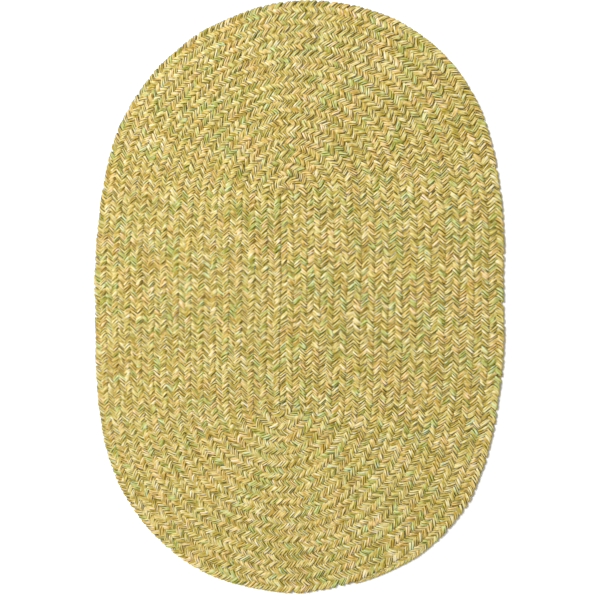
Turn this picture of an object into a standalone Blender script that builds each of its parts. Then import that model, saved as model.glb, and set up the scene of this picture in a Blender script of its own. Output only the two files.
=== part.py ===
"""Oval braided rug, flat on the floor.

One flat three-strand braid is wound outwards from a straight seam in the middle
and laced edge to edge, so the rug is a single piece with about fifteen and a half
rows on each side of its seam. Both faces carry the rows, because such a rug can be
turned over. Metres, +Z up. X runs across the seam and Y along it. The origin is on
the floor, under the middle of the rug.
"""

import math

import bmesh
import bpy
import numpy as np

# Driving dimensions, in metres. A row is one width of braid. Its crown is flat, and
# slopes down over the shoulder to a groove, or to the rim on the outermost row.
ROW_PITCH = 0.0375
THICKNESS = 0.013
SEAM_LENGTH = 0.638
GROOVE_DEPTH = 0.004
RIM_DEPTH = 0.0045
SHOULDER = 0.0075

# The braid starts on the right of the seam's upper end and goes round clockwise. After
# its whole rounds and one more side it narrows to nothing on the lower right. The tail's
# two angles are measured round the lower end, from the right side.
WHOLE_ROUNDS = 15
TAIL_STARTS_DEG = 22.5
TAIL_ENDS_DEG = 82.5

# How the rug departs from a true oval, as it lies. Its rows are a little wider at the
# sides than round the ends, the sides bow out over the bow's reach from the middle, and
# both the seam and the rows lean slightly.
SIDE_SLACK = 1.04
SIDE_BOW = 0.042
SIDE_BOW_REACH = 0.316
SIDE_BOW_POWER = 4
LEAN_ACROSS = 0.0076
LEAN_ALONG = 0.0229

# Steps of the mesh in each quarter of a round.
SIDE_STEPS = 6
TURN_STEPS = 24
ROUND_STEPS = 2 * (SIDE_STEPS + TURN_STEPS)

STRAW = (0.558, 0.451, 0.153, 1.0)
YARN_ROUGHNESS = 0.9
SHARP_ANGLE_DEG = 50
WELD = 0.0001


def smooth_step(share):
    """Three shares squared less two shares cubed: a soft start and a soft stop."""
    share = np.clip(share, 0.0, 1.0)
    return share * share * (3.0 - 2.0 * share)


def groove_points(steps):
    """The inner edge of the braid after a number of mesh steps, as an array of points.

    A round has four quarters: down the right side, round the lower end, up the left
    side and round the upper end. The lower end turns about the foot of the seam. The
    upper end turns about a point half a row to its right, so each round ends one row
    further out than it began.
    """
    half_seam = SEAM_LENGTH / 2
    rounds, step = np.divmod(steps, ROUND_STEPS)
    inner = rounds * ROW_PITCH
    bend = inner + ROW_PITCH / 2
    side_down = step / SIDE_STEPS
    low_turn = math.pi * (step - SIDE_STEPS) / TURN_STEPS
    side_up = (step - SIDE_STEPS - TURN_STEPS) / SIDE_STEPS
    high_turn = math.pi * (step - 2 * SIDE_STEPS - TURN_STEPS) / TURN_STEPS
    quarters = [
        step < SIDE_STEPS,
        step < SIDE_STEPS + TURN_STEPS,
        step < 2 * SIDE_STEPS + TURN_STEPS,
    ]
    across = np.select(
        quarters,
        [inner, inner * np.cos(low_turn), -inner],
        ROW_PITCH / 2 - bend * np.cos(high_turn),
    )
    along = np.select(
        quarters,
        [
            half_seam - SEAM_LENGTH * side_down,
            -half_seam - inner * np.sin(low_turn),
            SEAM_LENGTH * side_up - half_seam,
        ],
        half_seam + bend * np.sin(high_turn),
    )
    return np.stack([across, along], axis=-1)


def as_laid(points):
    """Moves points of the true oval to where the rug lies: looser and bowed at its
    sides, and leaning slightly."""
    across, along = points[..., 0], points[..., 1]
    bow = SIDE_BOW * np.exp(-np.abs(along / SIDE_BOW_REACH) ** SIDE_BOW_POWER)
    x = across * SIDE_SLACK * (1.0 + bow) + LEAN_ACROSS * along
    y = along + LEAN_ALONG * across
    return np.stack([x, y], axis=-1)


def row_edges():
    """The rows' inner and outer edge points, and the width left at each step as a share.

    The outer edge of one round is the inner edge of the next. The last stretch, the
    tail, narrows to nothing against the round inside it.
    """
    tail_first = SIDE_STEPS + round(TURN_STEPS * TAIL_STARTS_DEG / 180)
    tail_last = SIDE_STEPS + round(TURN_STEPS * TAIL_ENDS_DEG / 180)
    last = WHOLE_ROUNDS * ROUND_STEPS + tail_last
    steps = np.arange(last + 1)
    tail = (steps - last + tail_last - tail_first) / (tail_last - tail_first)
    width = 1.0 - smooth_step(tail)
    inner = groove_points(steps)
    outer = groove_points(steps + ROUND_STEPS)
    outer = inner + (outer - inner) * width[:, None]
    return inner, outer, width


def edge_heights(count):
    """Heights of the top face at the inner and outer edge of each step: the groove
    between two rows, or the rim where no row follows."""
    groove = THICKNESS - GROOVE_DEPTH
    rim = THICKNESS - RIM_DEPTH
    inner = np.full(count, groove)
    inner[-1] = rim
    outer = np.full(count, groove)
    outer[count - 1 - ROUND_STEPS:] = rim
    return inner, outer


def row_face():
    """The top face of the rows: a grid of points, one row of four for each step.

    The four are the inner edge, the two shoulders of the flat crown and the outer edge.
    """
    inner, outer, width = row_edges()
    inner_height, outer_height = edge_heights(len(inner))
    shoulder = SHOULDER / ROW_PITCH
    shares = np.array([0.0, shoulder, 1.0 - shoulder, 1.0])
    plan = inner[:, None] + (outer - inner)[:, None] * shares[None, :, None]
    crown = inner_height + (THICKNESS - inner_height) * width
    heights = np.stack([inner_height, crown, crown, outer_height], axis=1)
    return np.concatenate([as_laid(plan), heights[..., None]], axis=-1)


def tip_face():
    """The rounded start of the braid, as two half circles: its edge and its shoulder."""
    turn = np.linspace(0.0, math.pi, TURN_STEPS + 1)
    centre = np.array([ROW_PITCH / 2, SEAM_LENGTH / 2])
    radii = np.array([ROW_PITCH / 2, ROW_PITCH / 2 - SHOULDER])
    ring = np.stack([-np.cos(turn), np.sin(turn)], axis=-1)
    plan = centre + ring[:, None] * radii[None, :, None]
    heights = np.broadcast_to([THICKNESS - GROOVE_DEPTH, THICKNESS], plan.shape[:2])
    return np.concatenate([as_laid(plan), heights[..., None]], axis=-1)


def turned_over(points):
    """The same points on the underside, which is the top face reflected."""
    under = points.copy()
    under[..., 2] = THICKNESS - under[..., 2]
    return under


def add_grid(mesh, points):
    """Adds a grid of points as four-cornered faces, and returns its vertices in rows."""
    rows = [[mesh.verts.new(point) for point in row] for row in points]
    for row, following in zip(rows, rows[1:]):
        for i in range(len(row) - 1):
            mesh.faces.new((row[i], following[i], following[i + 1], row[i + 1]))
    return rows


def add_face_of_rug(mesh, rows, tip):
    """Adds the rows and the braid's rounded start, for one face of the rug."""
    add_grid(mesh, rows)
    start = add_grid(mesh, tip)
    mesh.faces.new([pair[1] for pair in start])


def rug_mesh():
    """Both faces and the rim between them, welded into one closed mesh."""
    rows = row_face()
    tip = tip_face()
    mesh = bmesh.new()
    add_face_of_rug(mesh, rows, tip)
    add_face_of_rug(mesh, turned_over(rows), turned_over(tip))
    rim = rows[-1 - ROUND_STEPS:, 3]
    add_grid(mesh, np.stack([rim, turned_over(rim)], axis=1))
    bmesh.ops.remove_doubles(mesh, verts=mesh.verts, dist=WELD)
    bmesh.ops.recalc_face_normals(mesh, faces=mesh.faces)
    corners = np.array([vertex.co[:2] for vertex in mesh.verts])
    middle = (corners.min(axis=0) + corners.max(axis=0)) / 2
    bmesh.ops.translate(mesh, verts=mesh.verts, vec=(-middle[0], -middle[1], 0.0))
    return mesh


def straw_yarn():
    """The rug's plain colour: a straw yellow, quite rough."""
    material = bpy.data.materials.new("straw_yarn")
    material.use_nodes = True
    shader = material.node_tree.nodes["Principled BSDF"]
    shader.inputs["Base Color"].default_value = STRAW
    shader.inputs["Roughness"].default_value = YARN_ROUGHNESS
    shader.inputs["Metallic"].default_value = 0.0
    return material


def braided_rug(collection):
    """The rug, shaded smooth but for its sharpest edges."""
    data = bpy.data.meshes.new("braided_rug")
    mesh = rug_mesh()
    mesh.to_mesh(data)
    mesh.free()
    data.materials.append(straw_yarn())
    data.shade_smooth()
    data.set_sharp_from_angle(angle=math.radians(SHARP_ANGLE_DEG))
    collection.objects.link(bpy.data.objects.new("braided_rug", data))


def main():
    for old in list(bpy.data.objects):
        bpy.data.objects.remove(old, do_unlink=True)
    collection = bpy.data.collections.new("braided_rug")
    bpy.context.scene.collection.children.link(collection)
    braided_rug(collection)


main()
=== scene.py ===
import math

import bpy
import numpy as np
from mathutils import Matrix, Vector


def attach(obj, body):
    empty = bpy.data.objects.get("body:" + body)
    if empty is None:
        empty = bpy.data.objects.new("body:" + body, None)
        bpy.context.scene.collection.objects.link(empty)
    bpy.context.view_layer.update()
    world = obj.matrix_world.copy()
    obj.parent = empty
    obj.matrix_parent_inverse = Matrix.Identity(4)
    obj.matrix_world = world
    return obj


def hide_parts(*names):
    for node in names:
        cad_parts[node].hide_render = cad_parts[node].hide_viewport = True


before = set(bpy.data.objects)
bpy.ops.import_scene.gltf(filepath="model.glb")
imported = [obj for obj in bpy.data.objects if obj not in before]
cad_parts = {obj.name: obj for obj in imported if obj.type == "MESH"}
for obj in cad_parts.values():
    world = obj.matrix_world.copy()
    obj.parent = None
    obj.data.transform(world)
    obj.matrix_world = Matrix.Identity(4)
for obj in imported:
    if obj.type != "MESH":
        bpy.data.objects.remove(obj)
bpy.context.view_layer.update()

# %% [markdown]
# # A braided rug
#
# The real rug starts as three long bundles of soft yarn. A maker crosses them over
# each other, right over middle and left over middle, into one flat braid nearly fifty
# metres long, then winds the braid into an oval and laces each row to the one before.
# This lesson makes it in the same order: first the line that the braid follows, then
# the three strands along it, each with its yarns as ridges, then the dye and the fibre.
#
# The frame gives the rug as a plain solid in its real size. Its name is kept here.

CAD_NODE = "braided_rug"

# %% [markdown]
# ## Driving sizes of the rug
#
# These repeat the sizes of the solid: the width of a row of braid, the straight seam in
# the middle, the place where the braid thins out into a tail, and the few numbers that
# say how the rug departs from a true oval.

# %% Sizes of the rug, in metres
ROW_PITCH = 0.0375
THICKNESS = 0.013
SEAM_LENGTH = 0.638
WHOLE_ROUNDS = 15
TAIL_STARTS_DEG = 22.5
TAIL_ENDS_DEG = 82.5
SIDE_SLACK = 1.04
SIDE_BOW = 0.042
SIDE_BOW_REACH = 0.316
SIDE_BOW_POWER = 4
LEAN_ACROSS = 0.0076
LEAN_ALONG = 0.0229

print("rows across the rug:", 2 * WHOLE_ROUNDS + 1)

# %% [markdown]
# ## The line of the braid
#
# A braid wound round a straight seam is a spiral with two centres. A round has four
# legs: down the right side, round the lower end, up the left side, and round the upper
# end. The lower end turns about the foot of the seam. The upper end turns about a point
# half a row further right, and that half row is what moves each round one row outwards.
# It could be drawn as a curve and read back, but a formula for the whole array of
# points is shorter, and it also gives every place *between* two rounds.


# %% The spiral
LEG = 0.25


def soft_step(share):
    """Three shares squared less two shares cubed: a soft start and a soft stop."""
    share = np.clip(share, 0.0, 1.0)
    return share * share * (3.0 - 2.0 * share)


def inner_edge(rounds):
    """The braid's inner edge after a number of rounds. A quarter of a round is a leg:
    a straight one moves along the seam, and a turn is a cosine across and a sine along."""
    whole = np.floor(rounds)
    leg = (rounds - whole) / LEG
    inner = whole * ROW_PITCH
    bend = inner + ROW_PITCH / 2
    half_seam = SEAM_LENGTH / 2
    low, high = np.pi * (leg - 1.0), np.pi * (leg - 3.0)
    legs = [leg < 1.0, leg < 2.0, leg < 3.0]
    across = np.select(
        legs, [inner, inner * np.cos(low), -inner], ROW_PITCH / 2 - bend * np.cos(high)
    )
    along = np.select(
        legs,
        [
            half_seam - SEAM_LENGTH * leg,
            -half_seam - inner * np.sin(low),
            SEAM_LENGTH * (leg - 2.0) - half_seam,
        ],
        half_seam + bend * np.sin(high),
    )
    return np.stack([across, along], axis=-1)


print("after two rounds, metres:", np.round(inner_edge(np.array([2.0]))[0], 3))

# %% [markdown]
# ## The tail, and the way the rug lies
#
# The last stretch of the braid narrows to nothing against the round inside it, as a
# maker thins the end and sews it down. Then the whole oval is moved to where it lies.
# Its long sides came out looser than its ends, so they bow a little, and the seam and
# the rows lean. The box of the outermost edge gives the middle of the rug.

# %% The tail of the braid
TAIL_FIRST = WHOLE_ROUNDS + LEG + LEG * TAIL_STARTS_DEG / 180
TAIL_LAST = WHOLE_ROUNDS + LEG + LEG * TAIL_ENDS_DEG / 180


def width_left(rounds):
    """The braid's width as a share of a whole row: one, then down to nothing in the tail."""
    return 1.0 - soft_step((rounds - TAIL_FIRST) / (TAIL_LAST - TAIL_FIRST))


def on_row(rounds, share):
    """The place in a row, at a share of its width from the inner edge to the outer."""
    inner = inner_edge(rounds)
    outer = inner_edge(rounds + 1.0)
    return inner + (outer - inner) * (share * width_left(rounds))[..., None]


print("the tail runs from round", round(TAIL_FIRST, 3), "to round", round(TAIL_LAST, 3))


# %% The way the rug lies
RIM_POINTS = 2000


def as_laid(place):
    """Where a place on the true oval lies on the floor: the sides are looser and bow
    outwards by a bell curve of the distance from the middle, and the rug leans."""
    across, along = place[..., 0], place[..., 1]
    bow = SIDE_BOW * np.exp(-np.abs(along / SIDE_BOW_REACH) ** SIDE_BOW_POWER)
    x = across * SIDE_SLACK * (1.0 + bow) + LEAN_ACROSS * along
    y = along + LEAN_ALONG * across
    return np.stack([x, y], axis=-1)


rim_rounds = np.linspace(TAIL_LAST - 1.0, TAIL_LAST, RIM_POINTS)
rim = as_laid(on_row(rim_rounds, np.ones_like(rim_rounds)))
MIDDLE = (rim.min(axis=0) + rim.max(axis=0)) / 2
print("outline of the braid, metres:", np.round(np.ptp(rim, axis=0), 3))

# %% [markdown]
# ## Length along the braid
#
# The lobes of a braid are evenly spaced along its own length, whatever the spiral does,
# so everything from here on is placed by that length. One strand needs `BRAID_PERIOD` to
# swing from side to side and back. As three strands share it, a new lobe shows on each
# side of the braid every third of that.
#
# A table of the length at each step of the spiral, read backwards with `np.interp`,
# turns metres of braid into rounds. A second table counts the strands' swings. They come
# closer in the tail, where a maker thins the strands out before sewing the end down.

# %% Tables of length and of swings
STRANDS = 3
BRAID_PERIOD = 0.0588
MID_ROW = 0.5
TABLE_STEPS_A_ROUND = 1500
TAIL_STOPS_AT_WIDTH = 0.16
TAIL_CLOSENESS = 0.45

table_rounds = np.linspace(0.0, TAIL_LAST, int(TAIL_LAST * TABLE_STEPS_A_ROUND))
table_line = as_laid(on_row(table_rounds, np.full_like(table_rounds, MID_ROW)))
table_steps = np.linalg.norm(np.diff(table_line, axis=0), axis=1)
table_length = np.concatenate([[0.0], np.cumsum(table_steps)])
table_width = width_left(table_rounds)
table_density = 1.0 / (1.0 - TAIL_CLOSENESS * (1.0 - table_width))
table_swings = np.concatenate(
    [[0.0], np.cumsum(table_steps * table_density[1:])]
) / BRAID_PERIOD

BRAID_LENGTH = np.interp(TAIL_STOPS_AT_WIDTH, table_width[::-1], table_length[::-1])
BRAID_SWINGS = np.interp(BRAID_LENGTH, table_length, table_swings)
print("length of the braid:", round(float(BRAID_LENGTH), 2), "m")
print("whole swings of a strand:", int(BRAID_SWINGS))
print("a lobe shows every", round(BRAID_PERIOD / STRANDS * 1000, 1), "mm on each side")

# %% [markdown]
# ## Nothing by hand is even
#
# A hand-laced rug has lobes that are a little fatter or flatter than the next, and rows
# that wander by a millimetre or two. Two small helpers give this. `unevenness` draws one
# random number for each stretch of braid and joins them softly, from a seeded generator,
# so each run makes the same rug. `WANDER` is a few long waves over the floor, which move
# neighbouring rows together, so that no gap opens between them.

# %% Unevenness along a strand
KNOTS_BEFORE_START = 2
LONGEST_BRAID = 60


def unevenness(length, spacing, seed, lines=1):
    """Random numbers from -1 to 1, one every spacing, joined by soft steps, for one or
    more lines side by side."""
    knots_needed = int(LONGEST_BRAID / spacing) + 2 * KNOTS_BEFORE_START
    knots = np.random.default_rng(seed).uniform(-1.0, 1.0, (knots_needed, lines))
    at = length / spacing + KNOTS_BEFORE_START
    before = np.floor(at).astype(int)
    share = soft_step(at - before)[:, None]
    return knots[before] * (1.0 - share) + knots[before + 1] * share


print("sample:", np.round(unevenness(np.linspace(0.0, 1.0, 5), 0.2, 1)[:, 0], 2))

# %% Wandering over the floor
WANDER = (
    # (wave length m, heading deg, start deg, reach m)
    (0.47, 20, 40, 0.0016),
    (0.31, 75, 200, 0.0012),
    (0.19, 130, 310, 0.0009),
    (0.12, 165, 95, 0.0006),
)


def wandered(xy):
    """Places moved by the sum of the waves. Each wave pushes along its own heading."""
    moved = xy.copy()
    for wave_length, heading, start, reach in WANDER:
        toward = np.array([math.cos(math.radians(heading)), math.sin(math.radians(heading))])
        side = np.array([-toward[1], toward[0]])
        push = np.sin(2 * np.pi * (xy @ side) / wave_length + math.radians(start))
        moved += reach * push[..., None] * toward
    return moved


print("furthest a row may wander:", round(sum(reach for *_, reach in WANDER) * 1000, 1), "mm")

# %% [markdown]
# ## From braid to floor
#
# One function bends a straight braid into the rug. It takes a length along the braid, a
# distance off its middle line and a height, all as arrays, and gives points in metres
# on the floor. The very first row turns round the foot of the seam with no radius at
# all, so its inner side is held back from crossing the seam. The last round has no
# neighbour outside it. Its outer lobes are drawn in a little, and the places between
# them are filled out, because free yarn swells until the rim is nearly smooth.

# %% Bending the straight braid into the rug
SEAM_CLEARANCE_SHARE = 0.01
RIM_DRAW_IN = 0.13
RIM_DRAW_ROUNDS = 0.01
RIM_REACH = 0.0215
RIM_FULLNESS = 0.7


def swelling(off_middle):
    """How far a place in the last row moves outwards: the fullness times the reach times
    the share of the reach times its rest, less a share of the way off the middle."""
    outward = np.maximum(off_middle, 0.0)
    share = np.minimum(outward / RIM_REACH, 1.0)
    return RIM_FULLNESS * RIM_REACH * share * (1.0 - share) - RIM_DRAW_IN * outward


def on_floor(length, off_middle, height):
    """Points of the rug from places in a straight braid. The share across the row is the
    middle's plus the distance off it over the row pitch. It stays clear of the seam on
    the first two legs. Before the braid's start the row runs on straight, for its tip."""
    rounds = np.interp(length, table_length, table_rounds)
    at_rim = soft_step((rounds - (TAIL_LAST - 1.0)) / RIM_DRAW_ROUNDS)
    off_middle = off_middle + at_rim * swelling(off_middle)
    share = MID_ROW + off_middle / ROW_PITCH
    share = np.where(rounds < 2 * LEG, np.maximum(share, SEAM_CLEARANCE_SHARE), share)
    place = on_row(rounds, share)
    place[..., 1] += np.maximum(-length, 0.0)
    xy = wandered(as_laid(place) - MIDDLE)
    return np.concatenate([xy, height[..., None]], axis=-1)


print("the braid starts at, metres:", np.round(on_floor(*np.zeros((3, 1)))[0], 3))

# %% [markdown]
# ## The path of a strand
#
# Seen from above, a strand of a flat braid zigzags from side to side with short, soft
# corners. Seen from the edge, it lifts and dips twice in each swing: it comes out from
# under its neighbour in the middle of the braid, runs over to the edge, folds there and
# goes back underneath. Seen along the braid the two together draw a figure of eight.
#
# The zigzag is a sine sent through an arcsine, stopped just short of sharp corners. The
# height is the sine of twice the angle, squared off by a root, because a strand lies on
# its neighbour for most of the way and drops away quickly at the fold.

# %% The path across and up
SWING = 0.0186
LIFT = 0.0037
CORNER_SHARPNESS = 0.992
FOLD_SOFTNESS = 0.22
MIDDLE_SOFTNESS = 1.6


def path(angle, lean):
    """Across: the swing times an arcsine of the sharpness times the sine. Height: the
    lift times the rise over the root of its square plus a softness squared, where the
    rise is the sine of twice the angle plus the lean."""
    sharpest = math.asin(CORNER_SHARPNESS)
    across = SWING * np.arcsin(CORNER_SHARPNESS * np.sin(angle)) / sharpest
    rise = np.sin(2 * angle + lean)
    softness = FOLD_SOFTNESS + (MIDDLE_SOFTNESS - FOLD_SOFTNESS) * np.cos(angle) ** 2
    height = LIFT * rise * np.sqrt((1 + softness**2) / (rise**2 + softness**2))
    return across, height


quarter = np.radians([0, 45, 90])
print("across at 0, 45 and 90 degrees, mm:", np.round(path(quarter, 0.0)[0] * 1000, 1))

# %% [markdown]
# ## The rings of a strand
#
# The strand will be a tube of rings. Its shape changes fastest at the folds and hardly
# at all between them, so the rings aren't spread evenly: the list of angles below
# crowds them about each fold, and repeats for every half swing. This keeps fifty metres
# of braid under a million triangles.

# %% Where the rings stand
RING_ANGLES_DEG = (0, 22, 44, 62, 75, 87, 100, 118, 148)


def ring_turns(first, last):
    """The turns, a whole swing being one turn, at which a ring stands."""
    half_turns = np.arange(math.floor(2 * first), math.ceil(2 * last) + 1)
    turns = (half_turns[:, None] + np.array(RING_ANGLES_DEG) / 180).ravel() / 2
    return turns[(turns >= first) & (turns <= last)]


print("rings in ten swings:", len(ring_turns(0.0, 10.0)))

# %% [markdown]
# ## The section of a strand
#
# A bundle of yarn in a tight braid isn't a round rope. It lies like a folded ribbon with
# rounded edges. Five yarns go round the ribbon, and each is a real ridge: the section
# has one corner on the crest of every yarn and one in the groove between two, so five
# yarns need ten points. The corners slowly travel round the section, as the yarns of a
# bundle do, and how far each stands out changes every two centimetres.

# %% The ribbon's section
STRAND_HALF_WIDTH = 0.0112
STRAND_HALF_DEPTH = 0.0027
WIDE_POWER = 0.9
DEEP_POWER = 0.6
SECTION_SAMPLES = 720


def section(share_round):
    """Shares of the half width and half depth at a share of the way round. They are a
    cosine and a sine, each raised to a power below one, spaced evenly by a table of the
    length round the ribbon."""
    turn = np.linspace(0.0, 2 * np.pi, SECTION_SAMPLES)
    wide = np.sign(np.cos(turn)) * np.abs(np.cos(turn)) ** WIDE_POWER
    deep = np.sign(np.sin(turn)) * np.abs(np.sin(turn)) ** DEEP_POWER
    steps = np.hypot(np.diff(wide) * STRAND_HALF_WIDTH, np.diff(deep) * STRAND_HALF_DEPTH)
    round_it = np.concatenate([[0.0], np.cumsum(steps)]) / steps.sum()
    share_round = share_round % 1.0
    return np.interp(share_round, round_it, wide), np.interp(share_round, round_it, deep)


print("ribbon, mm:", round(2000 * STRAND_HALF_WIDTH, 1), "by", round(2000 * STRAND_HALF_DEPTH, 1))

# %% The yarns as ridges on the ribbon
YARNS_ROUND = 5
SECTION_POINTS = 2 * YARNS_ROUND
YARN_DEPTH = 0.0027
YARN_SLIP = 0.9
YARN_SPACING = 0.34 * BRAID_PERIOD
YARN_TWIST_A_METRE = -1.5
ROLL_SLIP = 0.04


def yarn_ridges(length, seed):
    """How far each corner of the section stands out: half the depth of a yarn, times one
    plus the unevenness, outwards on a crest and inwards in a groove."""
    uneven = unevenness(length, YARN_SPACING, seed, SECTION_POINTS)
    outward_or_inward = np.where(np.arange(SECTION_POINTS) % 2 == 1, 1.0, -1.0)
    return YARN_DEPTH / 2 * (1.0 + YARN_SLIP * uneven) * outward_or_inward


def corners_round(length, seed):
    """The share of the way round for each corner of each ring: evenly spaced, plus the
    twist times the length, plus a little unevenness."""
    roll = YARN_TWIST_A_METRE * length[:, None]
    roll = roll + ROLL_SLIP * unevenness(length, BRAID_PERIOD, seed)
    return np.arange(SECTION_POINTS) / SECTION_POINTS + roll


print("points in a ring:", SECTION_POINTS)

# %% [markdown]
# ## The surface of a strand
#
# A section square to the path would swing wide at every fold and leave dark corners, so
# the ribbon is swept with its width *along* the braid, and its thickness square to the
# figure of eight. Three things then make it lie as in a real braid:
#
# - The height is read a little ahead on the ribbon's far side, and that side is lifted.
#   So each lobe lies with one edge over the lobe before it, as scales do.
# - What lies on top is pushed forward and what lies below is pushed back, most of all
#   near the folds. This turns the lobes to about 45 degrees, seen from above and from
#   below, without stretching the braid.
# - Whatever would go through the floor is pressed up against it, with its ridges.
#
# Each lobe also slips a little in its place, width, thickness and reach. And the whole
# braid is pulled tighter here and looser there, so that rows side by side don't keep
# step, just as in a rug laced by hand.

# %% How uneven the lobes are
PHASE_SLIP = 0.40
WIDTH_SLIP = 0.22
DEPTH_SLIP = 0.14
REACH_SLIP = 0.03
SLIP_SPACINGS = {"phase": 1.0, "width": 0.5, "depth": 0.25, "reach": 0.5}
BRAID_DRIFT = 0.25
DRIFT_SPACING = 0.5
DRIFT_SEED = 7


def drifted_swings(swings):
    """Swings plus the drift times the unevenness, which is alike for all the strands."""
    uneven = unevenness(swings * BRAID_PERIOD, DRIFT_SPACING, DRIFT_SEED)
    return swings + BRAID_DRIFT * uneven[:, 0]


def lobe_slips(length, seed):
    """The unevenness of the phase, width, depth and reach, each with its own spacing."""
    return {
        name: unevenness(length, BRAID_PERIOD * spacing, seed + count)
        for count, (name, spacing) in enumerate(SLIP_SPACINGS.items())
    }


print("a lobe may be wider or narrower by", round(WIDTH_SLIP * 100), "percent")

# %% The height over the floor
BRAID_MIDDLE = THICKNESS / 2
FLOOR_PRESS = 0.0015
TIP_LENGTH = 0.0175
TIP_THINNEST = 0.3
TAIL_THINNEST = 0.35


def over_floor(place, height):
    """The height over the floor, and the share of the width that the tip keeps. The
    height shrinks to a share in the tip and in the tail. Then what is below the press
    height nears the floor as an exponential does, and never reaches it."""
    before_start = np.clip(-place / TIP_LENGTH, 0.0, 1.0)
    tip = np.sqrt(1.0 - before_start**2)
    tail = np.interp(place, table_length, table_width)
    thin = TAIL_THINNEST + (1.0 - TAIL_THINNEST) * tail
    thin = thin * (TIP_THINNEST + (1.0 - TIP_THINNEST) * tip)
    height = BRAID_MIDDLE + height * thin
    pressed = FLOOR_PRESS * np.exp(np.minimum(height / FLOOR_PRESS - 1.0, 0.0))
    return np.where(height > FLOOR_PRESS, height, pressed), tip


sample_heights = np.array([-0.009, 0.0, 0.006])
print("pressed heights, mm:", np.round(over_floor(np.ones(3), sample_heights)[0] * 1000, 2))

# %% The strand itself
SCALE_LEAN = 0.45
SCALE_TILT = 0.0007
FOLD_BACK = 0.0055
SIDE_POWER = 3
SMALL_TURN = 0.01
SEEDS_A_STRAND = 100
SLIP_SEED = 1
ROLL_SEED = 5
RIDGE_SEED = 6


def strand_surface(strand):
    """The points of a whole strand, in rings.

    A corner's place along the braid is the ring's, plus its share of the width, plus the
    push of the fold. Its place across and its height are the path's, plus its share of
    the thickness along the path's normal. The normal is a slope turned square, and the
    slope is the path a small turn later less the path a small turn before. A ridge
    stands out along the share of the width, raised to a power, and the share of the
    thickness, so that it hardly widens the ribbon."""
    seed = SEEDS_A_STRAND * (strand + 1)
    phase = strand / STRANDS
    turns = ring_turns(phase - TIP_LENGTH / BRAID_PERIOD, phase + BRAID_SWINGS)
    rough = (turns - phase) * BRAID_PERIOD
    slip = lobe_slips(rough, seed + SLIP_SEED)
    swings = drifted_swings(turns - phase) + PHASE_SLIP / (2 * np.pi) * slip["phase"][:, 0]
    length = np.interp(swings, table_swings, table_length)
    length = length + np.minimum(swings, 0.0) * BRAID_PERIOD

    wide, deep = section(corners_round(rough, seed + ROLL_SEED))
    ridge = yarn_ridges(rough, seed + RIDGE_SEED) / np.hypot(wide**SIDE_POWER, deep)
    ahead = STRAND_HALF_WIDTH * (1.0 + WIDTH_SLIP * slip["width"]) * wide
    ahead = ahead + ridge * wide**SIDE_POWER
    depth = STRAND_HALF_DEPTH * (1.0 + DEPTH_SLIP * slip["depth"]) * deep + ridge * deep

    angle = 2 * np.pi * turns[:, None]
    lean = 2 * np.pi * ahead / BRAID_PERIOD * SCALE_LEAN
    across, height = path(angle, lean)
    across_before, height_before = path(angle - SMALL_TURN, lean)
    across_after, height_after = path(angle + SMALL_TURN, lean)
    across_slope, height_slope = across_after - across_before, height_after - height_before
    steepness = np.hypot(across_slope, height_slope)

    push = FOLD_BACK * np.abs(across) / SWING * height / LIFT
    place = length[:, None] + ahead + push
    across = across * (1.0 + REACH_SLIP * slip["reach"]) - depth * height_slope / steepness
    height = height * (1.0 + SCALE_TILT / LIFT * ahead / STRAND_HALF_WIDTH)
    height, tip = over_floor(place, height + depth * across_slope / steepness)
    return on_floor(place, across * tip, height)


print("a lobe is pushed forward by up to", round(FOLD_BACK * 1000, 1), "mm")

# %% [markdown]
# ## From points to a piece
#
# Half a million points are too many for a Python loop, so the corners of all the faces
# are worked out as one array as well, and `foreach_set` hands the arrays to the mesh. A
# strand has a UV map of its own: metres along the strand, and the share of the way round
# it, which is nought in the groove before the first yarn. The dye is drawn on that map.

# %% The faces and the map of a tube
MAP_NAME = "along_and_round"


def tube_faces(count, size):
    """Which ring and spoke each side face starts at, the corners of all the faces, and
    where each face starts. A flat cap closes each end."""
    ring, spoke = np.meshgrid(np.arange(count - 1), np.arange(size), indexing="ij")
    here, there = ring * size, (ring + 1) * size
    after = (spoke + 1) % size
    sides = np.stack([here + spoke, there + spoke, there + after, here + after], axis=-1)
    caps = np.concatenate([np.arange(size), (count - 1) * size + np.arange(size)[::-1]])
    corners = np.concatenate([sides.ravel(), caps])
    side_starts = np.arange(0, sides.size, sides.shape[-1])
    starts = np.concatenate([side_starts, sides.size + np.array([0, size])])
    return ring, spoke, corners.astype(np.int32), starts.astype(np.int32)


def tube_map(ring, spoke, along, size):
    """For each corner of each face: metres along, and the spoke over their number."""
    round_share = np.stack([spoke, spoke, spoke + 1, spoke + 1], axis=-1) / size
    metres = np.stack([along[ring], along[ring + 1], along[ring + 1], along[ring]], axis=-1)
    sides = np.stack([metres, round_share], axis=-1).reshape(-1, 2)
    cap_share = np.arange(size) / size
    first = np.stack([np.full(size, along[0]), cap_share], axis=-1)
    last = np.stack([np.full(size, along[-1]), cap_share[::-1]], axis=-1)
    return np.concatenate([sides, first, last]).astype(np.float32)


print("faces of a tube of three rings:", len(tube_faces(3, SECTION_POINTS)[3]))


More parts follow.
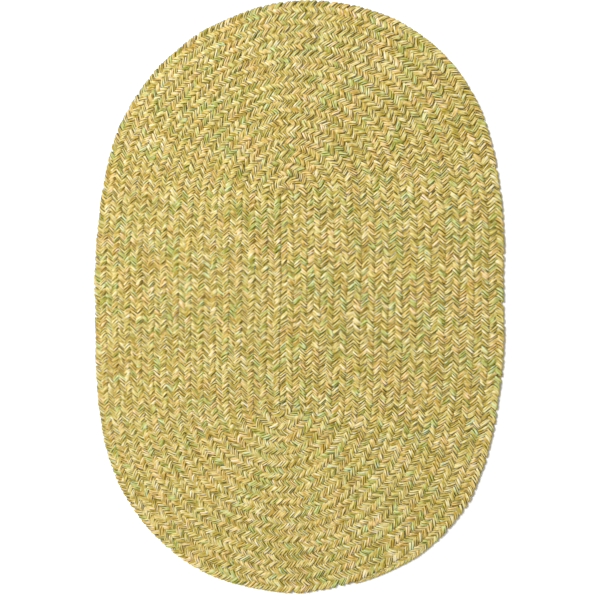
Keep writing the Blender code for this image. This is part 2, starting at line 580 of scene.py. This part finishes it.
# %% A tube made into a mesh
def tube_piece(name, rings, along):
    """A closed tube: four-cornered faces between one ring and the next, and two caps."""
    count, size = rings.shape[:2]
    ring, spoke, corners, starts = tube_faces(count, size)
    mesh = bpy.data.meshes.new(name)
    mesh.vertices.add(count * size)
    mesh.vertices.foreach_set("co", rings.astype(np.float32).ravel())
    mesh.loops.add(len(corners))
    mesh.loops.foreach_set("vertex_index", corners)
    mesh.polygons.add(len(starts))
    mesh.polygons.foreach_set("loop_start", starts)
    uv = mesh.uv_layers.new(name=MAP_NAME)
    uv.data.foreach_set("uv", tube_map(ring, spoke, along, size).ravel())
    mesh.update(calc_edges=True)
    mesh.validate()
    mesh.shade_smooth()
    piece = bpy.data.objects.new(name, mesh)
    bpy.context.scene.collection.objects.link(piece)
    return piece


def triangles_in(piece):
    """How many triangles a piece has, once its faces are split."""
    piece.data.calc_loop_triangles()
    return len(piece.data.loop_triangles)


# %% [markdown]
# ## The three strands
#
# A maker runs out of yarn long before the rug is done and sews a new length to the old
# one. Here each strand is cut once, halfway, so that no piece is too heavy. The halves
# share the ring at the cut, and the map runs on from one to the other, so nothing shows.

# %% Each strand, in an inner and an outer length
STRAND_MAP_OFFSET = 100.0
STRAND_NAMES = ("left", "middle", "right")

strands = []
for strand, strand_name in enumerate(STRAND_NAMES):
    rings = strand_surface(strand)
    steps = np.linalg.norm(np.diff(rings.mean(axis=1), axis=0), axis=1)
    along = STRAND_MAP_OFFSET * strand + np.concatenate([[0.0], np.cumsum(steps)])
    cut = len(rings) // 2
    for length_name, part in (("inner", slice(0, cut + 1)), ("outer", slice(cut, None))):
        piece = tube_piece(f"strand_{strand_name}_{length_name}", rings[part], along[part])
        strands.append(piece)
        metres = round(float(np.ptp(along[part])), 1)
        print(piece.name, triangles_in(piece), "triangles,", metres, "m")

# %% [markdown]
# ## The imported yarn inside
#
# Between the lobes of a real braid there is no daylight, only more of the same yarn in
# shade. A thin slab a few millimetres under the lobes stands for it, coloured as painted
# shade. It is the solid of the frame, merged into one skin, pressed flatter about its
# middle and drawn in from the rim, so it lies within the braid and shows at most in the
# bottom of a gap.

# %% The slab inside the strands
INSIDE_HEIGHT_SHARE = 0.3
INSIDE_PLAN_SHARE = 0.985
MERGE_DISTANCE = 0.00005


def packed_yarn_in_painted_shade():
    """A copy of the solid, its doubled points merged, its height taken about the middle
    of the rug times a share, and its plan drawn in."""
    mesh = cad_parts[CAD_NODE].data.copy()
    mesh.name = "packed_yarn_in_painted_shade"
    place = np.empty(3 * len(mesh.vertices), np.float32)
    mesh.vertices.foreach_get("co", place)
    place = place.reshape(-1, 3)
    place[:, :2] *= INSIDE_PLAN_SHARE
    place[:, 2] = BRAID_MIDDLE + (place[:, 2] - BRAID_MIDDLE) * INSIDE_HEIGHT_SHARE
    mesh.vertices.foreach_set("co", place.ravel())
    piece = bpy.data.objects.new("packed_yarn_in_painted_shade", mesh)
    bpy.context.scene.collection.objects.link(piece)
    merge = piece.modifiers.new("merge", "WELD")
    merge.merge_threshold = MERGE_DISTANCE
    merged = bpy.data.meshes.new_from_object(
        piece.evaluated_get(bpy.context.evaluated_depsgraph_get())
    )
    piece.modifiers.clear()
    piece.data = merged
    piece.data.materials.clear()
    piece.data.shade_smooth()
    return piece


# The slab is a dark sheet of painted shade under the lobes.
inside = packed_yarn_in_painted_shade()
print("packed_yarn_in_painted_shade", triangles_in(inside), "triangles")

# %% [markdown]
# ## Shader maths as sums
#
# A material is easier to read as arithmetic than as a web of nodes. `Value` wraps one
# output socket, and adding, taking away or multiplying two of them adds the Math node.
# `Painter` holds the node tree and makes any other node from its type, its settings and
# the values or links of its sockets.


# %% Numbers that vary over a surface
class Value:
    """One number that varies over a surface."""

    def __init__(self, painter, socket):
        self.painter = painter
        self.socket = socket

    def maths(self, operation, *given):
        """One Math node, fed with what is given."""
        return self.painter.number("ShaderNodeMath", {"operation": operation}, given)

    def __add__(self, other):
        return self.maths("ADD", self, other)

    def __radd__(self, other):
        return self.maths("ADD", other, self)

    def __sub__(self, other):
        return self.maths("SUBTRACT", self, other)

    def __rsub__(self, other):
        return self.maths("SUBTRACT", other, self)

    def __mul__(self, other):
        return self.maths("MULTIPLY", self, other)

    def __rmul__(self, other):
        return self.maths("MULTIPLY", other, self)

    def __truediv__(self, other):
        return self.maths("DIVIDE", self, other)

    def __rtruediv__(self, other):
        return self.maths("DIVIDE", other, self)

    def floor(self):
        return self.maths("FLOOR", self)

    def fraction(self):
        return self.maths("FRACT", self)

    def remainder(self, whole):
        return self.maths("FLOORED_MODULO", self, whole)

    def sine(self):
        return self.maths("SINE", self)

    def power(self, exponent):
        return self.maths("POWER", self, exponent)

    def between(self, low, high):
        """Nought below low, one above high, and a soft step between them."""
        settings = {"interpolation_type": "SMOOTHSTEP"}
        return self.painter.number("ShaderNodeMapRange", settings, [self, low, high, 0.0, 1.0])


# %% The node tree of a material
class Painter:
    """The node tree of one material, and short ways to add to it."""

    def __init__(self, name):
        self.material = bpy.data.materials.new(name)
        self.material.use_nodes = True
        self.tree = self.material.node_tree
        self.shader = self.tree.nodes["Principled BSDF"]

    def node(self, kind, settings, inputs):
        """A node of a kind. Its settings are made first, then each input is a number,
        a colour, a Value or a socket, by position or by name."""
        made = self.tree.nodes.new(kind)
        for name, setting in settings.items():
            setattr(made, name, setting)
        named = inputs.items() if isinstance(inputs, dict) else enumerate(inputs)
        for key, given in named:
            self.feed(made.inputs[key], given)
        return made

    def feed(self, socket, given):
        """A Value or another socket is linked to the socket. A number or a colour is
        set on it."""
        if isinstance(given, Value):
            self.tree.links.new(given.socket, socket)
        elif isinstance(given, bpy.types.NodeSocket):
            self.tree.links.new(given, socket)
        else:
            socket.default_value = given

    def number(self, kind, settings, inputs):
        """The first output of a node, as a Value."""
        return Value(self, self.node(kind, settings, inputs).outputs[0])

    def vector(self, x, y=0.0, z=0.0):
        """Three numbers as one place."""
        return self.node("ShaderNodeCombineXYZ", {}, [x, y, z]).outputs[0]

    def noise(self, vector, scale=1.0, detail=0.0):
        """Soft noise about a half, at a place times the scale. Detail adds finer noise."""
        inputs = {"Vector": vector, "Scale": scale, "Detail": detail}
        return self.number("ShaderNodeTexNoise", {}, inputs)

    def mix(self, share, first, second):
        """The first colour, and for a share of it the second. This node has several
        sockets of each name, so they go by place: 0 is the share, 6 and 7 are the two
        colours, and output 2 is the mixed one."""
        settings = {"data_type": "RGBA", "blend_type": "MIX"}
        made = self.node("ShaderNodeMix", settings, {0: share, 6: first, 7: second})
        return made.outputs[2]

    def tinted_or_shaded(self, colour, share, tint):
        """A colour, and for a share of it the colour times the tint, channel by channel. It lays
        the dye's tints, and also the painted shade in the grooves between yarns.
        """
        times = self.node("ShaderNodeVectorMath", {"operation": "MULTIPLY"}, [colour, tint])
        return self.mix(share, colour, times.outputs[0])

    def shaded(self, colour, brightness):
        """A colour times a number."""
        settings = {"operation": "SCALE"}
        made = self.node("ShaderNodeVectorMath", settings, {0: colour, "Scale": brightness})
        return made.outputs[0]

    def bumped(self, height):
        """Relief given in metres, for the shader's normal."""
        inputs = {"Strength": 1.0, "Distance": 1.0, "Height": height}
        bump = self.node("ShaderNodeBump", {}, inputs)
        self.feed(self.shader.inputs["Normal"], bump.outputs[0])

    def constants(self, **values):
        """Numbers that are the same all over, set on the shader's own sockets."""
        for name, value in values.items():
            self.shader.inputs[name.replace("_", " ")].default_value = value


def colour(red, green, blue):
    """A colour given as on a screen, from 0 to 255, turned into light by the usual rule
    for screens (sRGB): a straight line for the darkest, then a power."""
    screen = np.array([red, green, blue]) / 255
    light = np.where(screen <= 0.04045, screen / 12.92, ((screen + 0.055) / 1.055) ** 2.4)
    return (*light.tolist(), 1.0)


print("mid grey as light:", round(colour(128, 128, 128)[0], 3))

# %% [markdown]
# ## Which yarn is where
#
# The share round the strand, times the number of yarns, has a whole part that names the
# yarn and a fraction that says how far across it we are. A slow wobble of a small part
# of a yarn is added first, so that the painted shade of the groove doesn't follow the
# ridge too neatly. The fraction times its rest gives a smooth hump, which is the
# roundness of the yarn.

# %% The yarns on the map
WOBBLE = 0.3
WOBBLE_LENGTH = 0.035
WOBBLE_LAYER = 7.0
RIDGE_POWER = 0.6


def yarns_on_map(paint):
    """Metres along, the turn in yarns, which yarn, which groove, the share across the
    yarn, and its roundness: four times the share times its rest, to a power."""
    where = paint.node("ShaderNodeUVMap", {"uv_map": MAP_NAME}, [])
    split = paint.node("ShaderNodeSeparateXYZ", {}, [where.outputs[0]])
    along, round_share = Value(paint, split.outputs[0]), Value(paint, split.outputs[1])
    wobble_place = paint.vector(along / WOBBLE_LENGTH, round_share * YARNS_ROUND, WOBBLE_LAYER)
    wobble = paint.noise(wobble_place) - 0.5
    turn = round_share * YARNS_ROUND + wobble * WOBBLE
    across = turn.fraction()
    return {
        "along": along,
        "turn": turn,
        "yarn": turn.floor().remainder(YARNS_ROUND),
        "groove": (turn + 0.5).floor().remainder(YARNS_ROUND),
        "across": across,
        "ridge": (across * (1.0 - across) * 4.0).power(RIDGE_POWER),
    }


print("yarns round a strand:", YARNS_ROUND)

# %% [markdown]
# ## The dye
#
# The yarn is space-dyed: its colour changes every few centimetres, mostly between deep
# and pale straw, now and then to cream. Over that lie green, peach, a pale rose and a
# deep yellow, never strong. They come both in short stretches of one yarn and in patches
# as long as a hand, where the dye took the whole bundle. So each tint is decided by two
# noises, a fine one for the yarn and a broad one for the patch. The third number given
# to a noise is a layer, far enough from the others that no two dyes go together.

# %% The straws
DEEP_STRAW = colour(184, 162, 66)
STRAW = colour(213, 193, 111)
PALE_STRAW = colour(231, 216, 144)
CREAM = colour(241, 231, 188)
STRAW_STEPS = ((0.38, 0.46, STRAW), (0.48, 0.58, PALE_STRAW), (0.60, 0.68, CREAM))
STRAW_LENGTH = 0.024
STRAW_LINE = 7.3
STRAW_LAYER = 0.0
STRAW_SHARE = 0.6
STREAK_LENGTH = 0.016
STREAK_LINE = 2.2
STREAK_LAYER = 200.0
STREAK_SHARE = 0.55


def dye(paint, along, length, line, layer):
    """Noise about a half, that changes over a length of yarn, from line to line and from
    layer to layer."""
    return paint.noise(paint.vector(along / length, line, layer))


def together(first, first_share, second, second_share):
    """Two noises about a half, each times its share, and their sum about a half again."""
    return (first - 0.5) * first_share + (second - 0.5) * second_share + 0.5


def straw_colour(paint, on):
    """Deep straw, then a lighter colour above each step of the tone."""
    yarn_tone = dye(paint, on["along"], STRAW_LENGTH, on["yarn"] * STRAW_LINE, STRAW_LAYER)
    streak = dye(paint, on["along"], STREAK_LENGTH, on["turn"] * STREAK_LINE, STREAK_LAYER)
    tone = together(yarn_tone, STRAW_SHARE, streak, STREAK_SHARE)
    base = DEEP_STRAW
    for low, high, lighter in STRAW_STEPS:
        base = paint.mix(tone.between(low, high), base, lighter)
    return base


print("colours of straw:", 1 + len(STRAW_STEPS))

# %% The tints over the straw
TINT_LENGTH = 0.040
TINT_LINE = 0.9
PATCH_LENGTH = 0.13
PATCH_LINE = 0.08
FINE_SHARE = 0.36
PATCH_SHARE = 0.85
HUES = (
    # fine layer, patch layer, tint above (low, high, share, colour), tint below
    (40.0, 60.0, (0.56, 0.68, 0.70, (0.64, 0.90, 0.76)), (0.52, 0.64, 0.75, (1.05, 0.88, 0.85))),
    (80.0, 95.0, (0.53, 0.64, 0.60, (1.07, 1.03, 1.26)), (0.53, 0.64, 0.60, (0.94, 0.95, 0.78))),
)


def tinted_straw(paint, on, base):
    """Each hue is a noise: above its steps the first tint shows, and below as much
    under a half the second."""
    for fine_layer, patch_layer, above, below in HUES:
        fine = dye(paint, on["along"], TINT_LENGTH, on["yarn"] * TINT_LINE, fine_layer)
        patch = dye(paint, on["along"], PATCH_LENGTH, on["yarn"] * PATCH_LINE, patch_layer)
        hue = together(fine, FINE_SHARE, patch, PATCH_SHARE)
        for noise, (low, high, share, tint) in ((hue, above), (1.0 - hue, below)):
            base = paint.tinted_or_shaded(base, noise.between(low, high) * share, tint)
    return base


print("tints over the straw:", 2 * len(HUES))

# %% [markdown]
# ## Shade, fibre and ply
#
# Light hardly reaches the groove between two yarns, so the colour there is darkened as
# painted shade. Some grooves are tight and some gape, so that painted shade has a noise of
# its own. The yarn is spun from two plies, which wind about each other every few
# millimetres, and its fibres make it fuzzy. Both are finer than the mesh, so they are
# relief in the finish, with the last of the roundness. The fibres also scatter the light:
# the yarn is rough, hardly glossy, with a faint sheen.

# %% Painted shade in the grooves between yarns
# Painted shade for the grooves: the tint that the base is multiplied by, and where across the
# yarn and how strongly it shows.
GROOVE_PAINTED_SHADE = (0.04, 0.045, 0.015)
GROOVE_STARTS = 0.35
GROOVE_ENDS = 0.9
GROOVE_LINE = 5.7
GROOVE_LAYER = 120.0
GAPE_LOW = 0.42
GAPE_HIGH = 0.56
GROOVE_LEAST = 0.12


def with_painted_groove_shade(paint, on, base):
    """Painted shade: the base darkened where the yarn's roundness is low, by how much the
    groove gapes.
    """
    gape = dye(paint, on["along"], STRAW_LENGTH, on["groove"] * GROOVE_LINE, GROOVE_LAYER)
    gape = gape.between(GAPE_LOW, GAPE_HIGH) * (1.0 - GROOVE_LEAST) + GROOVE_LEAST
    dark = (1.0 - on["ridge"].between(GROOVE_STARTS, GROOVE_ENDS)) * gape
    return paint.tinted_or_shaded(base, dark, GROOVE_PAINTED_SHADE)


print("the tightest groove has", round(GROOVE_LEAST * 100), "percent of the shade")

# %% The whole finish of the yarn
YARN_BRIGHTNESS = 0.876
YARN_ROUGHNESS = 0.72
YARN_RELIEF = 0.0008
PLY_RELIEF = 0.00006
PLY_LENGTH = 0.0075
PLY_SLANT = 0.8
FIBRE_CONTRAST = 0.9
FIBRE_ROUGHNESS = 0.2
FIBRE_RELIEF = 0.00035
FIBRES_A_METRE = 300.0
FIBRES_ACROSS = 9.0
FIBRE_DETAIL = 2.0


def yarn_finish(name):
    """The finish of a strand, from its own map: dye, painted shade in the grooves, plies and
    fibre.
    """
    paint = Painter(name)
    on = yarns_on_map(paint)
    base = with_painted_groove_shade(paint, on, tinted_straw(paint, on, straw_colour(paint, on)))
    fibre_place = paint.vector(on["along"] * FIBRES_A_METRE, on["turn"] * FIBRES_ACROSS)
    fibre = paint.noise(fibre_place, detail=FIBRE_DETAIL)
    brightness = ((fibre - 0.5) * FIBRE_CONTRAST + 1.0) * YARN_BRIGHTNESS
    paint.feed(paint.shader.inputs["Base Color"], paint.shaded(base, brightness))
    paint.feed(paint.shader.inputs["Roughness"], fibre * FIBRE_ROUGHNESS + YARN_ROUGHNESS)

    ply_turns = on["along"] / PLY_LENGTH + on["across"] * PLY_SLANT
    ply = (ply_turns * (2 * math.pi)).sine() * on["ridge"]
    paint.bumped(on["ridge"] * YARN_RELIEF + ply * PLY_RELIEF + fibre * FIBRE_RELIEF)
    paint.constants(Specular_IOR_Level=0.2, Sheen_Weight=0.1, Sheen_Roughness=0.5)
    return paint.material


# One material for all the strands: their dye, and the painted shade in the grooves between yarns.
yarn_material = yarn_finish("dyed_yarn_with_painted_shade")
for piece in strands:
    piece.data.materials.append(yarn_material)
print("nodes in the yarn's finish:", len(yarn_material.node_tree.nodes))

# %% The finish of the imported yarn: painted shade
# A dark olive that stands for the shade deep in the braid: painted shade.
PAINTED_SHADE_OLIVE = colour(120, 108, 44)
PACKED_GRAIN = 260.0
PACKED_RELIEF = 0.001
PACKED_ROUGHNESS = 0.95


def painted_shade_finish(name):
    """Painted shade for the yarn deep inside: a fine grain between a dark olive and deep
    straw.
    """
    paint = Painter(name)
    place = paint.node("ShaderNodeTexCoord", {}, []).outputs["Object"]
    fibre = paint.noise(place, PACKED_GRAIN, FIBRE_DETAIL)
    paint.feed(paint.shader.inputs["Base Color"], paint.mix(fibre, PAINTED_SHADE_OLIVE, DEEP_STRAW))
    paint.bumped(fibre * PACKED_RELIEF)
    paint.constants(Roughness=PACKED_ROUGHNESS)
    return paint.material


inside.data.materials.append(painted_shade_finish("painted_shade_yarn"))
print("finishes:", [material.name for material in bpy.data.materials if material.users])

# %% [markdown]
# ## Floor, light and camera
#
# The rug lies on a plain pale floor. The light is soft and comes from high up on the far
# left, so the shade of a lobe falls to its right, and the rows keep their shape without
# hard shadows. The camera hangs over the rug, slightly to its right, and looks down at a
# small slant, so the rows on the right look wider than those on the left.

# %% The floor
FLOOR_SIZE = 14.0
FLOOR_GREY = 0.97
FLOOR_ROUGHNESS = 0.9


def pale_floor():
    """A square of floor about the middle of the rug, with a plain finish."""
    data = bpy.data.meshes.new("floor")
    half = FLOOR_SIZE / 2
    corners = [(-half, -half, 0.0), (half, -half, 0.0), (half, half, 0.0), (-half, half, 0.0)]
    data.from_pydata(corners, [], [(0, 1, 2, 3)])
    floor = bpy.data.objects.new("floor", data)
    bpy.context.scene.collection.objects.link(floor)
    paint = Painter("floor")
    pale = (FLOOR_GREY, FLOOR_GREY, FLOOR_GREY, 1.0)
    paint.constants(Base_Color=pale, Roughness=FLOOR_ROUGHNESS)
    data.materials.append(paint.material)
    return floor


pale_floor()
print("floor:", FLOOR_SIZE, "metres square")

# %% The light
WINDOW_PLACE = (-3.2, 2.6, 6.4)
WINDOW_SIZE = 2.7
WINDOW_POWER = 690.0
ROOM_LIGHT = 0.40


def soft_light(name, place, size, power):
    """A square lamp that points at the middle of the rug."""
    lamp = bpy.data.lights.new(name, "AREA")
    lamp.size = size
    lamp.energy = power
    holder = bpy.data.objects.new(name, lamp)
    bpy.context.scene.collection.objects.link(holder)
    holder.location = place
    holder.rotation_mode = "QUATERNION"
    holder.rotation_quaternion = (-Vector(place)).to_track_quat("-Z", "Y")
    return holder


soft_light("window", WINDOW_PLACE, WINDOW_SIZE, WINDOW_POWER)

world = bpy.data.worlds.new("studio")
world.use_nodes = True
world.node_tree.nodes["Background"].inputs["Color"].default_value = (1.0, 1.0, 1.0, 1.0)
world.node_tree.nodes["Background"].inputs["Strength"].default_value = ROOM_LIGHT
bpy.context.scene.world = world
bpy.context.scene.view_settings.view_transform = "Standard"
print("the lamp hangs", round(Vector(WINDOW_PLACE).length, 1), "metres away")

# %% The camera
CAMERA_DISTANCE = 2.0625
CAMERA_SLANT = 0.20029
CAMERA_AIM = (0.0399, -0.0089, 0.010)
CAMERA_LENS = 41.24
CAMERA_SENSOR = 36.0
NEAREST_SEEN = 0.01
FURTHEST_SEEN = 100.0

camera = bpy.data.objects.new("camera", bpy.data.cameras.new("camera"))
bpy.context.scene.collection.objects.link(camera)
camera.data.sensor_width = CAMERA_SENSOR
camera.data.lens = CAMERA_LENS
camera.data.clip_start = NEAREST_SEEN
camera.data.clip_end = FURTHEST_SEEN
camera.location = Vector(CAMERA_AIM) + CAMERA_DISTANCE * Vector(
    (math.sin(CAMERA_SLANT), 0.0, math.cos(CAMERA_SLANT))
)
camera.rotation_mode = "XYZ"
camera.rotation_euler = (0.0, CAMERA_SLANT, 0.0)
bpy.context.scene.camera = camera
print("the camera leans", round(math.degrees(CAMERA_SLANT), 1), "degrees to the right")

# %% [markdown]
# ## Handing over
#
# Every piece rides on the frame's one body. The slab inside stands for the solid, which is
# hidden.

# %% Riding, and the solid hidden
for piece in [inside, *strands]:
    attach(piece, "root")
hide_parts(CAD_NODE)
print("triangles in all:", sum(triangles_in(piece) for piece in [inside, *strands]))
